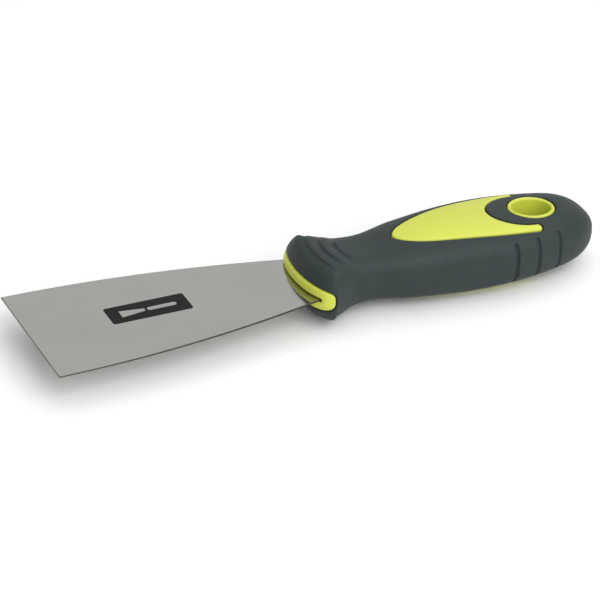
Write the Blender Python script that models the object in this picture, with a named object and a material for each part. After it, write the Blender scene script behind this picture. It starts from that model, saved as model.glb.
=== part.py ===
"""Putty knife: a spring-steel blade with its tang, held in a two-shot moulded handle.

Axes: +X from the blade towards the tail of the handle, +Y across, +Z up.
The origin is at the middle of the knife's length and width, on the surface it lies on.
All lengths are in metres.
"""

import math

import bmesh
import bpy
from mathutils import Vector

# ---------------------------------------------------------------- overall sizes
BLADE_LENGTH = 0.0910         # working edge of the blade to the nose of the handle
HANDLE_LENGTH = 0.1090        # nose to tail
BLADE_WIDTH = 0.0500          # at the working edge
HANDLE_THICKNESS = 0.0232     # at the palm, where the handle is thickest

# ---------------------------------------------------------------- blade and tang
NECK_WIDTH = 0.0269           # blade width where it goes into the handle
TAPER_LENGTH = 0.0940         # working edge to the place where the neck width is reached
SIDE_BOW = 0.0028             # how far each long side bulges past a straight taper
NECK_THICKNESS = 0.0008
EDGE_THICKNESS = 0.0005       # the blade is ground thinner towards its working edge
SHOULDER_DEPTH = 0.0075       # how far the blade's full width runs inside the handle
TANG_WIDTH = 0.0120
TANG_LENGTH = 0.0520          # shoulder to the tang's round end
TANG_HOLE_RADIUS = 0.0030
TANG_HOLE_PLACES = (0.0140, 0.0380)   # hole centres, from the shoulder

# ---------------------------------------------------------------- handle body
# Each station is a place along the handle, a half width and a half thickness.
# The first five places are measured from the nose and the last three from the tail.
GUARD = (0.0082, 0.0168, 0.0104)
FLARE = (0.0120, 0.0143, 0.0103)
NECK = (0.0185, 0.0118, 0.0095)
WAIST = (0.0245, 0.0114, 0.0092)
SWELL = (0.0405, 0.0149, 0.0103)
PALM = (0.0495, 0.0168, HANDLE_THICKNESS / 2)
BELLY = (0.0375, 0.0178, 0.0111)
TAIL = (0.0155, 0.0149, 0.0099)
RIM_SLOPES = (-0.80, -0.12)   # how steeply width and thickness fall behind the guard's rim
SECTION_POWER = 2.75          # superellipse power of the cross-section
GUARD_SECTION_POWER = 3.5     # the cross-section is squarer at the guard's rim
NOSE_SECTION_POWER = 1.8      # the cross-section softens to this at the very front
NOSE_SOFTENING = 0.7          # below 1, it softens soon in front of the rim
NOSE_PLAN_POWER = 2.15        # how the nose rounds off, seen from above and from the side
NOSE_SIDE_POWER = 1.8
TAIL_PLAN_POWER = 2.8
TAIL_SIDE_POWER = 2.5

# ---------------------------------------------------------------- two-shot moulding
GRIP_WALL = 0.0022            # thickness of the soft skin
GAP = 0.0003                  # clearance between neighbouring pieces
COLLAR_HALF_WIDTH = 0.0168    # the hard plastic that shows round the blade
COLLAR_HALF_HEIGHT = 0.0042
COLLAR_POWER = 3.0
COLLAR_END = 0.0078           # nose to the place where it has that half width
COLLAR_CLOSING = 1.5          # its half width shrinks this much faster than it goes inwards
COLLAR_DEPTH = 0.0100
BORE_HALF_LENGTH = 0.0069     # the hang hole is an oval
BORE_HALF_WIDTH = 0.0055
SLEEVE_WALL = 0.0014          # hard plastic round the bore
SLEEVE_SINK = 0.0002          # its rims lie this far below the top of the handle's curve
BORE_FROM_TAIL = 0.0219

# ---------------------------------------------------------------- window in the soft skin
WINDOW_HALF_WIDTH = 0.0126
WINDOW_FROM_NOSE = 0.0355     # nose to the window's round tip
WINDOW_POWER = 1.95
PRONG_FROM_BORE = 0.0016      # ends of the window's two prongs to the bore axis
ISLAND_FROM_BORE = 0.0034     # centre of the soft island's round front to the bore axis
ISLAND_HALF_LENGTH = 0.0130
ISLAND_HALF_WIDTH = 0.0096

# ---------------------------------------------------------------- grooves in the soft skin
GROOVE_WIDTH = 0.0010
GROOVE_DEPTH = 0.0005
TAIL_GROOVE_COUNT = 3
TAIL_GROOVE_PITCH = 0.0085
TAIL_GROOVE_FROM_TAIL = 0.0185        # the last groove to the tail
TAIL_GROOVE_HALF_HEIGHT = 0.0070
# Each ripple is the front of an oval: its centre from the nose, half length and half width.
RIPPLES = ((0.0134, 0.0070, 0.0140), (0.0170, 0.0065, 0.0106), (0.0213, 0.0060, 0.0082))
RIPPLE_HALF_ANGLE = math.radians(68)

# ---------------------------------------------------------------- mesh fineness
RING_POINTS = 40
END_STEPS = 7
BODY_STEPS = 17
CURVE_STEPS = 12
OVERSHOOT = 0.0050            # how far a cutter reaches past what it cuts

# ---------------------------------------------------------------- worked-out places
EDGE_X = -(BLADE_LENGTH + HANDLE_LENGTH) / 2
NOSE_X = EDGE_X + BLADE_LENGTH
TAIL_X = NOSE_X + HANDLE_LENGTH
SHOULDER_X = NOSE_X + SHOULDER_DEPTH
BORE_X = TAIL_X - BORE_FROM_TAIL
GUARD_X = NOSE_X + GUARD[0]
TAIL_ROUND_X = TAIL_X - TAIL[0]
FRONT_STATIONS = (GUARD, FLARE, NECK, WAIST, SWELL)
BACK_STATIONS = (PALM, BELLY, TAIL)
STATIONS = [(NOSE_X + place, width, depth) for place, width, depth in FRONT_STATIONS]
STATIONS += [(TAIL_X - place, width, depth) for place, width, depth in BACK_STATIONS]


# ---------------------------------------------------------------- curves
def station_slopes(column):
    """Slopes that keep the curve through the stations free of overshoot."""
    steps = []
    for left, right in zip(STATIONS, STATIONS[1:]):
        steps.append((right[column] - left[column]) / (right[0] - left[0]))
    slopes = [RIM_SLOPES[column - 1]]
    for before, after in zip(steps, steps[1:]):
        slopes.append(2 * before * after / (before + after) if before * after > 0 else 0.0)
    last = STATIONS[-1][0] - STATIONS[-2][0]
    previous = STATIONS[-2][0] - STATIONS[-3][0]
    end_slope = ((2 * last + previous) * steps[-1] - last * steps[-2]) / (last + previous)
    return slopes + [end_slope]


SLOPES = {column: station_slopes(column) for column in (1, 2)}


def body_curve(x, column):
    """Half width (column 1) or half thickness (column 2) of the handle, before its ends close."""
    if x <= STATIONS[0][0]:
        return STATIONS[0][column]
    if x >= STATIONS[-1][0]:
        return STATIONS[-1][column] + SLOPES[column][-1] * (x - STATIONS[-1][0])
    index = max(i for i, station in enumerate(STATIONS) if station[0] <= x)
    left, right = STATIONS[index], STATIONS[index + 1]
    span = right[0] - left[0]
    s = (x - left[0]) / span
    value = (2 * s**3 - 3 * s**2 + 1) * left[column] + (3 * s**2 - 2 * s**3) * right[column]
    value += (s**3 - 2 * s**2 + s) * span * SLOPES[column][index]
    value += (s**3 - s**2) * span * SLOPES[column][index + 1]
    return value


def closing(share, power):
    """How far a superellipse has closed at a share of its half length."""
    return max(0.0, 1 - min(share, 1.0) ** power) ** (1 / power)


def handle_size(x, inset=0.0):
    """Half width and half thickness of the handle at x, for a surface that lies inset below it."""
    width = body_curve(x, 1) - inset
    depth = body_curve(x, 2) - inset
    if x < GUARD_X:
        share = (GUARD_X - x) / (GUARD[0] - inset)
        width *= closing(share, NOSE_PLAN_POWER)
        depth *= closing(share, NOSE_SIDE_POWER)
    if x > TAIL_ROUND_X:
        share = (x - TAIL_ROUND_X) / (TAIL[0] - inset)
        width *= closing(share, TAIL_PLAN_POWER)
        depth *= closing(share, TAIL_SIDE_POWER)
    return width, depth


def section_power(x):
    """Power of the cross-section: highest at the guard's rim, softer towards nose and body."""
    if x < GUARD_X:
        share = min(1.0, (GUARD_X - x) / GUARD[0]) ** NOSE_SOFTENING
        return GUARD_SECTION_POWER + (NOSE_SECTION_POWER - GUARD_SECTION_POWER) * share
    share = min(1.0, (x - GUARD_X) / (NECK[0] - GUARD[0]))
    return GUARD_SECTION_POWER + (SECTION_POWER - GUARD_SECTION_POWER) * share


def surface_height(x, y):
    """Height of the handle's top above its middle plane."""
    width, depth = handle_size(x)
    return depth * closing(abs(y) / width, section_power(x))


def surface_side(x, z):
    """Distance of the handle's side from its middle plane."""
    width, depth = handle_size(x)
    return width * closing(abs(z) / depth, section_power(x))


def signed_power(value, power):
    return math.copysign(abs(value) ** power, value)


def superellipse(half_a, half_b, power, count):
    """Points round a whole superellipse, as pairs."""
    points = []
    for i in range(count):
        angle = 2 * math.pi * i / count
        a = half_a * signed_power(math.cos(angle), 2 / power)
        b = half_b * signed_power(math.sin(angle), 2 / power)
        points.append((a, b))
    return points


# ---------------------------------------------------------------- mesh helpers
def new_object(name, bm, parent):
    """Turns a bmesh into an object with outward faces and smooth shading under the empty."""
    bmesh.ops.recalc_face_normals(bm, faces=bm.faces)
    mesh = bpy.data.meshes.new(name)
    bm.to_mesh(mesh)
    bm.free()
    mesh.shade_smooth()
    mesh.set_sharp_from_angle(angle=math.radians(35))
    obj = bpy.data.objects.new(name, mesh)
    bpy.context.scene.collection.objects.link(obj)
    obj.parent = parent
    return obj


def skin_rings(bm, rings, first_pole=None, last_pole=None):
    """Joins rings of vertices into a tube, closed by a pole or by a flat face at each end."""
    count = len(rings[0])
    for ring, following in zip(rings, rings[1:]):
        for i in range(count):
            j = (i + 1) % count
            bm.faces.new((ring[i], ring[j], following[j], following[i]))
    for ring, pole in ((rings[0], first_pole), (rings[-1], last_pole)):
        if pole is None:
            bm.faces.new(ring)
            continue
        tip = bm.verts.new(pole)
        for i in range(count):
            bm.faces.new((ring[i], ring[(i + 1) % count], tip))


def sweep(bm, sections):
    """Adds a closed bar to the bmesh whose sections are lists of points."""
    rings = [[bm.verts.new(point) for point in section] for section in sections]
    skin_rings(bm, rings)


def handle_loft(name, inset, parent):
    """The handle's body as one closed surface, inset below the outside."""
    start = NOSE_X + inset
    end = TAIL_X - inset
    places = []
    for i in range(1, END_STEPS):
        places.append(GUARD_X - (GUARD_X - start) * math.cos(0.5 * math.pi * i / END_STEPS))
    for i in range(BODY_STEPS + 1):
        places.append(GUARD_X + (TAIL_ROUND_X - GUARD_X) * i / BODY_STEPS)
    for i in range(1, END_STEPS):
        places.append(TAIL_ROUND_X + (end - TAIL_ROUND_X) * math.sin(0.5 * math.pi * i / END_STEPS))
    bm = bmesh.new()
    rings = []
    for x in places:
        width, depth = handle_size(x, inset)
        outline = superellipse(width, depth, section_power(x), RING_POINTS)
        rings.append([bm.verts.new((x, y, z)) for y, z in outline])
    skin_rings(bm, rings, (start, 0, 0), (end, 0, 0))
    return new_object(name, bm, parent)


def prism(name, outline, low, high, parent):
    """A plan outline made solid between two heights."""
    bm = bmesh.new()
    sweep(bm, [[(x, y, z) for x, y in outline] for z in (low, high)])
    return new_object(name, bm, parent)


def circle(x, radius):
    return [(x + a, b) for a, b in superellipse(radius, radius, 2, RING_POINTS // 2)]


def bore_oval(grow=0.0):
    """Plan outline of the hang hole, grown outwards."""
    oval = superellipse(BORE_HALF_LENGTH + grow, BORE_HALF_WIDTH + grow, 2, RING_POINTS)
    return [(BORE_X + a, b) for a, b in oval]


def as_cutter(obj):
    """Marks a helper shape, which isn't a piece of the knife."""
    obj.display_type = "WIRE"
    obj.hide_render = True
    return obj


def boolean(obj, operation, other):
    modifier = obj.modifiers.new(operation.lower() + "_" + other.name, "BOOLEAN")
    modifier.operation = operation
    modifier.solver = "EXACT"
    modifier.object = as_cutter(other)


def material(name, colour, roughness, metallic=0.0):
    made = bpy.data.materials.new(name)
    made.use_nodes = True
    shader = made.node_tree.nodes["Principled BSDF"]
    shader.inputs["Base Color"].default_value = (*colour, 1.0)
    shader.inputs["Roughness"].default_value = roughness
    shader.inputs["Metallic"].default_value = metallic
    return made


# ---------------------------------------------------------------- blade
def blade_side(x, grow=0.0):
    """Half width of the blade at x, on the bowed taper and on the parallel neck behind it."""
    share = min(1.0, (x - EDGE_X) / TAPER_LENGTH)
    straight = BLADE_WIDTH / 2 + (NECK_WIDTH - BLADE_WIDTH) / 2 * share
    return straight + 4 * SIDE_BOW * share * (1 - share) + grow


def blade_outline(grow=0.0):
    """Plan outline of blade and tang, from the working edge round to the other side."""
    edge = EDGE_X - grow
    side = [(edge, blade_side(EDGE_X, grow))]
    for i in range(1, CURVE_STEPS + 1):
        x = EDGE_X + (NOSE_X - EDGE_X) * i / CURVE_STEPS
        side.append((x, blade_side(x, grow)))
    shoulder = SHOULDER_X + grow
    half_tang = TANG_WIDTH / 2 + grow
    side.append((EDGE_X + TAPER_LENGTH, NECK_WIDTH / 2 + grow))
    side.append((shoulder, NECK_WIDTH / 2 + grow))
    side.append((shoulder, half_tang))
    round_x = SHOULDER_X + TANG_LENGTH - TANG_WIDTH / 2
    for i in range(CURVE_STEPS // 2):
        angle = 0.5 * math.pi * (1 - i / (CURVE_STEPS // 2))
        side.append((round_x + half_tang * math.cos(angle), half_tang * math.sin(angle)))
    tip = (round_x + half_tang, 0.0)
    return side + [tip] + [(x, -y) for x, y in reversed(side)]


def half_thickness(x):
    """Half the blade's thickness: ground to a taper in front of the handle, parallel inside it."""
    share = min(1.0, (x - EDGE_X) / BLADE_LENGTH)
    return (EDGE_THICKNESS + (NECK_THICKNESS - EDGE_THICKNESS) * share) / 2


def make_blade(parent):
    outline = blade_outline()
    front = [point for point in outline if point[0] < NOSE_X + GAP]
    back = [point for point in outline if point[0] > NOSE_X - GAP]
    bm = bmesh.new()
    layers = []
    for sign in (-1, 1):
        layers.append({(x, y): bm.verts.new((x, y, sign * half_thickness(x))) for x, y in outline})
    for layer in layers:
        for part in (front, back):
            bm.faces.new([layer[point] for point in part])
    for i, point in enumerate(outline):
        following = outline[(i + 1) % len(outline)]
        corners = (layers[0][point], layers[0][following], layers[1][following], layers[1][point])
        bm.faces.new(corners)
    blade = new_object("blade", bm, parent)
    for i, place in enumerate(TANG_HOLE_PLACES):
        hole = circle(SHOULDER_X + place, TANG_HOLE_RADIUS)
        cutter = prism(f"tang_hole_{i + 1}", hole, -OVERSHOOT, OVERSHOOT, parent)
        boolean(blade, "DIFFERENCE", cutter)
    blade.data.materials.append(material("spring_steel", (0.62, 0.62, 0.60), 0.3, 1.0))


# ---------------------------------------------------------------- shared cuts of the two shots
def window_outline(grow=0.0):
    """The window: a long half ellipse, forked round the soft island in front of the bore."""
    prong_end = BORE_X - PRONG_FROM_BORE + grow
    outer = WINDOW_HALF_WIDTH + grow
    inner = ISLAND_HALF_WIDTH - grow
    prong_radius = (outer - inner) / 2
    straight_end = prong_end - prong_radius
    half_length = straight_end - (NOSE_X + WINDOW_FROM_NOSE) + grow
    side = []
    for i in range(1, CURVE_STEPS + 1):
        angle = 0.5 * math.pi * i / CURVE_STEPS
        along = half_length * signed_power(math.cos(angle), 2 / WINDOW_POWER)
        side.append((straight_end - along, outer * math.sin(angle) ** (2 / WINDOW_POWER)))
    prong_steps = CURVE_STEPS // 2
    for i in range(1, prong_steps):
        angle = math.pi * (0.5 - i / prong_steps)
        y = inner + prong_radius * (1 + math.sin(angle))
        side.append((straight_end + prong_radius * math.cos(angle), y))
    island_x = BORE_X - ISLAND_FROM_BORE
    side.append((straight_end, inner))
    for i in range(CURVE_STEPS):
        angle = 0.5 * math.pi * (1 + i / CURVE_STEPS)
        x = island_x + (ISLAND_HALF_LENGTH - grow) * math.cos(angle)
        side.append((x, inner * math.sin(angle)))
    island_tip = (island_x - ISLAND_HALF_LENGTH + grow, 0.0)
    window_tip = (straight_end - half_length, 0.0)
    return [window_tip] + side + [island_tip] + [(x, -y) for x, y in reversed(side)]


def window_prism(name, grow, parent):
    reach = HANDLE_THICKNESS
    return prism(name, window_outline(grow), -reach, reach, parent)


def collar_prism(name, grow, parent):
    """The flattened plug of hard plastic that reaches the outside at the nose."""
    sections = []
    for x in (NOSE_X - OVERSHOOT, NOSE_X + COLLAR_DEPTH + grow):
        width = COLLAR_HALF_WIDTH + grow - COLLAR_CLOSING * (x - NOSE_X - COLLAR_END)
        outline = superellipse(width, COLLAR_HALF_HEIGHT + grow, COLLAR_POWER, RING_POINTS)
        sections.append([(x, y, z) for y, z in outline])
    bm = bmesh.new()
    sweep(bm, sections)
    return new_object(name, bm, parent)


def blade_pocket(parent):
    """The room for blade and tang, with a peg left standing in each tang hole."""
    half_height = NECK_THICKNESS / 2 + GAP
    pocket = prism("blade_pocket", blade_outline(GAP), -half_height, half_height, parent)
    for i, place in enumerate(TANG_HOLE_PLACES):
        peg = circle(SHOULDER_X + place, TANG_HOLE_RADIUS - GAP)
        boolean(pocket, "DIFFERENCE", prism(f"peg_{i + 1}", peg, -OVERSHOOT, OVERSHOOT, parent))
    return pocket


# ---------------------------------------------------------------- hard core
def bore_sleeve(parent):
    """The tube round the bore. Its flat rims slope with the handle towards the tail."""
    reach = BORE_HALF_LENGTH + SLEEVE_WALL
    height = handle_size(BORE_X)[1] - SLEEVE_SINK
    slope = (handle_size(BORE_X + reach)[1] - handle_size(BORE_X - reach)[1]) / (2 * reach)
    outline = [(x, y, height + slope * (x - BORE_X)) for x, y in bore_oval(SLEEVE_WALL)]
    bm = bmesh.new()
    sweep(bm, [[(x, y, side * z) for x, y, z in outline] for side in (-1, 1)])
    return new_object("bore_sleeve", bm, parent)


def make_core(parent):
    core = handle_loft("handle_core", GRIP_WALL + GAP, parent)
    window_land = handle_loft("window_land", 0.0, parent)
    boolean(window_land, "INTERSECT", window_prism("window_plug", 0.0, parent))
    collar_land = handle_loft("collar_land", 0.0, parent)
    boolean(collar_land, "INTERSECT", collar_prism("collar_plug", 0.0, parent))
    for land in (window_land, collar_land, bore_sleeve(parent)):
        boolean(core, "UNION", land)
    reach = HANDLE_THICKNESS
    boolean(core, "DIFFERENCE", prism("bore", bore_oval(), -reach, reach, parent))
    boolean(core, "DIFFERENCE", blade_pocket(parent))
    core.data.materials.append(material("green_plastic", (0.70, 0.76, 0.13), 0.35))


# ---------------------------------------------------------------- soft grip
def tail_grooves(parent):
    """Short grooves across each side of the tail."""
    bm = bmesh.new()
    half = GROOVE_WIDTH / 2
    for side in (-1, 1):
        for i in range(TAIL_GROOVE_COUNT):
            x = TAIL_X - TAIL_GROOVE_FROM_TAIL - i * TAIL_GROOVE_PITCH
            sections = []
            for step in range(CURVE_STEPS + 1):
                z = TAIL_GROOVE_HALF_HEIGHT * (2 * step / CURVE_STEPS - 1)
                low = side * (surface_side(x, z) - GROOVE_DEPTH)
                high = side * (surface_side(x, z) + OVERSHOOT)
                corners = ((x - half, low), (x + half, low), (x + half, high), (x - half, high))
                sections.append([(px, py, z) for px, py in corners])
            sweep(bm, sections)
    return new_object("tail_grooves", bm, parent)


def guard_ripples(parent):
    """Nested crescents on both broad faces of the guard, where the finger presses."""
    bm = bmesh.new()
    half = GROOVE_WIDTH / 2
    for side in (-1, 1):
        for from_nose, length, width in RIPPLES:
            sections = []
            for step in range(CURVE_STEPS + 1):
                angle = RIPPLE_HALF_ANGLE * (2 * step / CURVE_STEPS - 1)
                across = Vector((-math.cos(angle) / length, math.sin(angle) / width, 0))
                across.normalize()
                x = NOSE_X + from_nose - length * math.cos(angle)
                middle = Vector((x, width * math.sin(angle), 0))
                top = surface_height(middle.x, middle.y)
                low = Vector((0, 0, side * (top - GROOVE_DEPTH)))
                high = Vector((0, 0, side * (top + OVERSHOOT)))
                inner = middle - across * half
                outer = middle + across * half
                sections.append([inner + low, outer + low, outer + high, inner + high])
            sweep(bm, sections)
    return new_object("guard_ripples", bm, parent)


def make_grip(parent):
    grip = handle_loft("grip_overmould", 0.0, parent)
    sleeve_outline = bore_oval(SLEEVE_WALL + GAP)
    reach = HANDLE_THICKNESS
    cutters = [
        handle_loft("grip_inside", GRIP_WALL, parent),
        window_prism("window_opening", GAP, parent),
        collar_prism("collar_opening", GAP, parent),
        prism("sleeve_opening", sleeve_outline, -reach, reach, parent),
        tail_grooves(parent),
        guard_ripples(parent),
    ]
    for cutter in cutters:
        boolean(grip, "DIFFERENCE", cutter)
    grip.data.materials.append(material("grey_soft_plastic", (0.075, 0.092, 0.092), 0.7))


def main():
    for obj in list(bpy.data.objects):
        bpy.data.objects.remove(obj, do_unlink=True)
    knife = bpy.data.objects.new("knife", None)
    bpy.context.scene.collection.objects.link(knife)
    knife.location = (0, 0, HANDLE_THICKNESS / 2)
    make_blade(knife)
    make_core(knife)
    make_grip(knife)


main()
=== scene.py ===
"""Putty knife: the finished look of the blade, the hard handle and the soft grip.

Lengths are in metres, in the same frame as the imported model: +X from the blade towards the
tail of the handle, +Y across, +Z up. The handle's middle plane is at MIDDLE above the floor.
A quarter of the handle is made over a flat map of its surface and mirrored twice.
"""

import math

import bmesh
import bpy
import numpy as np
from mathutils import Matrix, Vector
from mathutils.geometry import delaunay_2d_cdt
from mathutils.kdtree import KDTree


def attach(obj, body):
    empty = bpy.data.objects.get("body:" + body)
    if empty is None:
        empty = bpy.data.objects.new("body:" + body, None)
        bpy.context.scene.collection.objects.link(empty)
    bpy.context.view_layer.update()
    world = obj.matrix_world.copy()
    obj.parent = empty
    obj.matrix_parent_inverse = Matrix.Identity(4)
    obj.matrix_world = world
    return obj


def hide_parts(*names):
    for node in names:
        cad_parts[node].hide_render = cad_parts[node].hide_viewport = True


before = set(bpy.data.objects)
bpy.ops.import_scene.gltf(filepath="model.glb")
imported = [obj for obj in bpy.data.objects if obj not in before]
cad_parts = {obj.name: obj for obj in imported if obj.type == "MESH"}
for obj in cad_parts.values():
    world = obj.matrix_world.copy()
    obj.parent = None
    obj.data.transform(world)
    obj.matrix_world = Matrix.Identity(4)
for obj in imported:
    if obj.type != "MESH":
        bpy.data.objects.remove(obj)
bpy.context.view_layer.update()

MM = 0.001
# ---------------------------------------------------------------- sizes shared with the CAD model
BLADE_LENGTH = 0.0910         # working edge of the blade to the nose of the handle
HANDLE_LENGTH = 0.1090        # nose to tail
BLADE_WIDTH = 0.0500          # at the working edge
HANDLE_THICKNESS = 0.0232     # at the palm, where the handle is thickest
NECK_WIDTH = 0.0269           # blade width where it goes into the handle
TAPER_LENGTH = 0.0940         # working edge to the place where the neck width is reached
SIDE_BOW = 0.0028             # how far each long side bulges past a straight taper
NECK_THICKNESS = 0.0008
EDGE_THICKNESS = 0.0005       # the blade is ground thinner towards its working edge
SHOULDER_DEPTH = 0.0075       # how far the blade's full width runs inside the handle
TANG_WIDTH = 0.0120
TANG_LENGTH = 0.0520          # shoulder to the tang's round end
TANG_HOLE_RADIUS = 0.0030
TANG_HOLE_PLACES = (0.0140, 0.0380)  # hole centres, from the shoulder

# Each station is a place along the handle, a half width and a half thickness.
# The first five places are measured from the nose and the last three from the tail.
GUARD = (0.0082, 0.0168, 0.0104)
FLARE = (0.0120, 0.0143, 0.0103)
NECK = (0.0185, 0.0118, 0.0095)
WAIST = (0.0245, 0.0114, 0.0092)
SWELL = (0.0405, 0.0149, 0.0103)
PALM = (0.0495, 0.0168, HANDLE_THICKNESS / 2)
BELLY = (0.0375, 0.0178, 0.0111)
TAIL = (0.0155, 0.0149, 0.0099)
RIM_SLOPES = (-0.80, -0.12)   # how steeply width and thickness fall behind the guard's rim
SECTION_POWER = 2.75          # superellipse power of the cross-section
GUARD_SECTION_POWER = 3.5     # the cross-section is squarer at the guard's rim
NOSE_SECTION_POWER = 1.8      # the cross-section softens to this at the very front
NOSE_SOFTENING = 0.7          # below 1, it softens soon in front of the rim
NOSE_PLAN_POWER = 2.15        # how the nose rounds off, seen from above and from the side
NOSE_SIDE_POWER = 1.8
TAIL_PLAN_POWER = 2.8
TAIL_SIDE_POWER = 2.5

GRIP_WALL = 0.0022            # thickness of the soft skin
GAP = 0.0003                  # clearance between neighbouring pieces
COLLAR_HALF_WIDTH = 0.0168    # the hard plastic that shows round the blade
COLLAR_HALF_HEIGHT = 0.0042
COLLAR_POWER = 3.0
COLLAR_END = 0.0078           # nose to the place where it has that half width
COLLAR_CLOSING = 1.5          # its half width shrinks this much faster than it goes inwards
BORE_HALF_LENGTH = 0.0069     # the hang hole is an oval
BORE_HALF_WIDTH = 0.0055
SLEEVE_WALL = 0.0014          # hard plastic round the bore
SLEEVE_SINK = 0.0002          # its rims lie this far below the top of the handle's curve
BORE_FROM_TAIL = 0.0219
WINDOW_HALF_WIDTH = 0.0126
WINDOW_FROM_NOSE = 0.0355     # nose to the window's round tip
WINDOW_POWER = 1.95
PRONG_FROM_BORE = 0.0016      # ends of the window's two prongs to the bore axis
ISLAND_FROM_BORE = 0.0034     # centre of the soft island's round front to the bore axis
ISLAND_HALF_LENGTH = 0.0130
ISLAND_HALF_WIDTH = 0.0096
TAIL_GROOVE_COUNT = 3
TAIL_GROOVE_PITCH = 0.0085
TAIL_GROOVE_FROM_TAIL = 0.0185  # the last groove to the tail
# Each ripple is the front of an oval: its centre from the nose, half length and half width.
RIPPLES = ((0.0134, 0.0070, 0.0140), (0.0170, 0.0065, 0.0106), (0.0213, 0.0060, 0.0082))
RIPPLE_HALF_ANGLE = math.radians(68)

# ---------------------------------------------------------------- fine shape, past the CAD model's
GRIP_ROUND = 0.00040          # the soft skin's edges along its openings
LAND_ROUND = 0.00095          # the hard plastic's edges
FOOT = 0.00003                # how far a steep wall spreads from top to bottom
ROUND_STEPS = 5
BLEND_START = 1.1             # depths start to turn from straight down to the normal here,
BLEND_SPAN = 0.5              # and have turned after this, both in sizes of the sleeve's oval
TAIL_GROOVE_HALF_HEIGHT = 0.0069  # middle plane to the start of a tail groove's round end
GROOVE_DEPTH = 0.0009         # deeper than the CAD model's groove, because its walls run out softly
GROOVE_REACH = 0.00085        # a tail groove's half width at the surface
GROOVE_POWER = 1.5            # how softly its walls run out at the surface
MOUTH_DEPTH = 0.0010          # the collar falls away towards the slot that the blade leaves by
MOUTH_REACH = 0.0015          # over this height, and past the blade's sides
RIPPLE_DEPTH = 0.0005
RIPPLE_STEEP = 0.00055        # a ripple's short side, towards the tail
RIPPLE_GENTLE = 0.0032        # and its long side, towards the nose
RIPPLE_POWER = 1.6            # how softly the long side runs out
RIPPLE_END = 1.12 * RIPPLE_HALF_ANGLE  # a ripple is gone here,
RIPPLE_END_FADE = 0.45 * RIPPLE_HALF_ANGLE  # and starts to fade this much sooner
RIPPLE_LOW = 0.0071           # ripples are gone at this height over the middle plane,
RIPPLE_FADE = 0.0022          # and start to fade this much higher up
BLADE_CHAMFER = 0.0001
SHARP_ANGLE = math.radians(38)  # edges that turn by more are shaded sharp

# ---------------------------------------------------------------- printed sign on the blade
SIGN_X = -0.0590
SIGN_Y = 0.0015
SIGN_HALF_LENGTH = 0.0138
SIGN_HALF_WIDTH = 0.0049
SIGN_CORNER = 0.0009
# The little knife that is left bare in the sign. Its places are measured from the sign's middle.
SIGN_TIP = -0.0095
SIGN_TIP_HALF_WIDTH = 0.0019
SIGN_ROOT = -0.0012
SIGN_ROOT_HALF_WIDTH = 0.0007
SIGN_GRIP = 0.0047
SIGN_GRIP_HALF_LENGTH = 0.0050
SIGN_GRIP_HALF_WIDTH = 0.0009
SIGN_GRIP_CORNER = 0.0008

# ---------------------------------------------------------------- mesh fineness
GRID = 0.0007                 # spacing of the points on the surfaces that show
MOUTH_GRID = 0.00035          # the same beside the blade's slot
HIDDEN_GRID = 0.0014          # and under the soft skin
LOOP_STEP = 0.0004            # spacing of the points along the openings' edges
KEEP_OFF = 0.5                # grid points keep this share of their spacing from other points
GROOVE_KEEP_OFF = 0.2 * LOOP_STEP
RIPPLE_KEEP_OFF = 0.3 * LOOP_STEP
EDGE_FEWEST = 4               # fewest points of an opening's edge
LINE_POINTS = 200             # points of a fine line, before some of them are picked
SECTION_POINTS = 80           # points that a section's length is measured with
POLE_POINTS = 10              # fewest steps of a row round the section
BORE_ROWS = 8                 # rows of faces from the sleeve's rim to the middle plane
MOUTH_SPREAD = 1.3            # the finer grid reaches this share of the mouth's reach
GROOVE_LINES = 12             # lines of points along a tail groove,
GROOVE_SPREAD = 1.15          # out to this share of its half width
GROOVE_END_STEP = 0.6 * LOOP_STEP  # spacing of the points round a groove's end
GROOVE_END_FEWEST = 3         # fewest points there
GROOVE_END_MARGIN = 0.1       # radians left free at each side of a groove's round end
RIPPLE_SPREAD = 1.15          # a ripple's points go on to this share of its half angle
RIPPLE_DENSITY = 1.2          # points along a ripple, for each LOOP_STEP of its half width
STEEP_LINES = 5               # lines of points down a ripple's steep side
GENTLE_LINES = (0.05, 0.12, 0.25, 0.45, 0.7, 1)  # and out over its gentle side
TAPER_STEPS = 60              # pieces of the blade's bowed side
TANG_END_POINTS = 16
HOLE_POINTS = 48
CORNER_POINTS = 9             # for each corner of a rounded box
HALVINGS = 50                 # steps of a search by halving
SMALL = 1e-7                  # map places closer to a border than this lie on it
MERGE = 2e-6                  # points of the mirrored quarters closer than this are one
NUDGE = 1e-4                  # share of the way to the map's middle that tested places move

# ---------------------------------------------------------------- looks, studio and camera
FACE_INDEX, EDGE_INDEX, INK_INDEX = 0, 1, 2  # places in the blade's list of materials
NOISE_LOW = 0.3               # most of a noise's values lie from here
NOISE_HIGH = 0.7              # to here
WALL_DARK = 0.54              # the room's brightness on the blade's side
WALL_BRIGHT = 0.78            # and on the tail's side
FLOOR_HALF = 2.5
CAMERA_TURN = math.radians(-26.86)
CAMERA_RISE = math.radians(31.6)
CAMERA_ROLL = math.radians(2.92)
CAMERA_DISTANCE = 1.1
CAMERA_AIM = Vector((-0.0059, 0.0, 0.0041))
CAMERA_LENS = 203.2
CAMERA_SENSOR = 36.0

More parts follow.
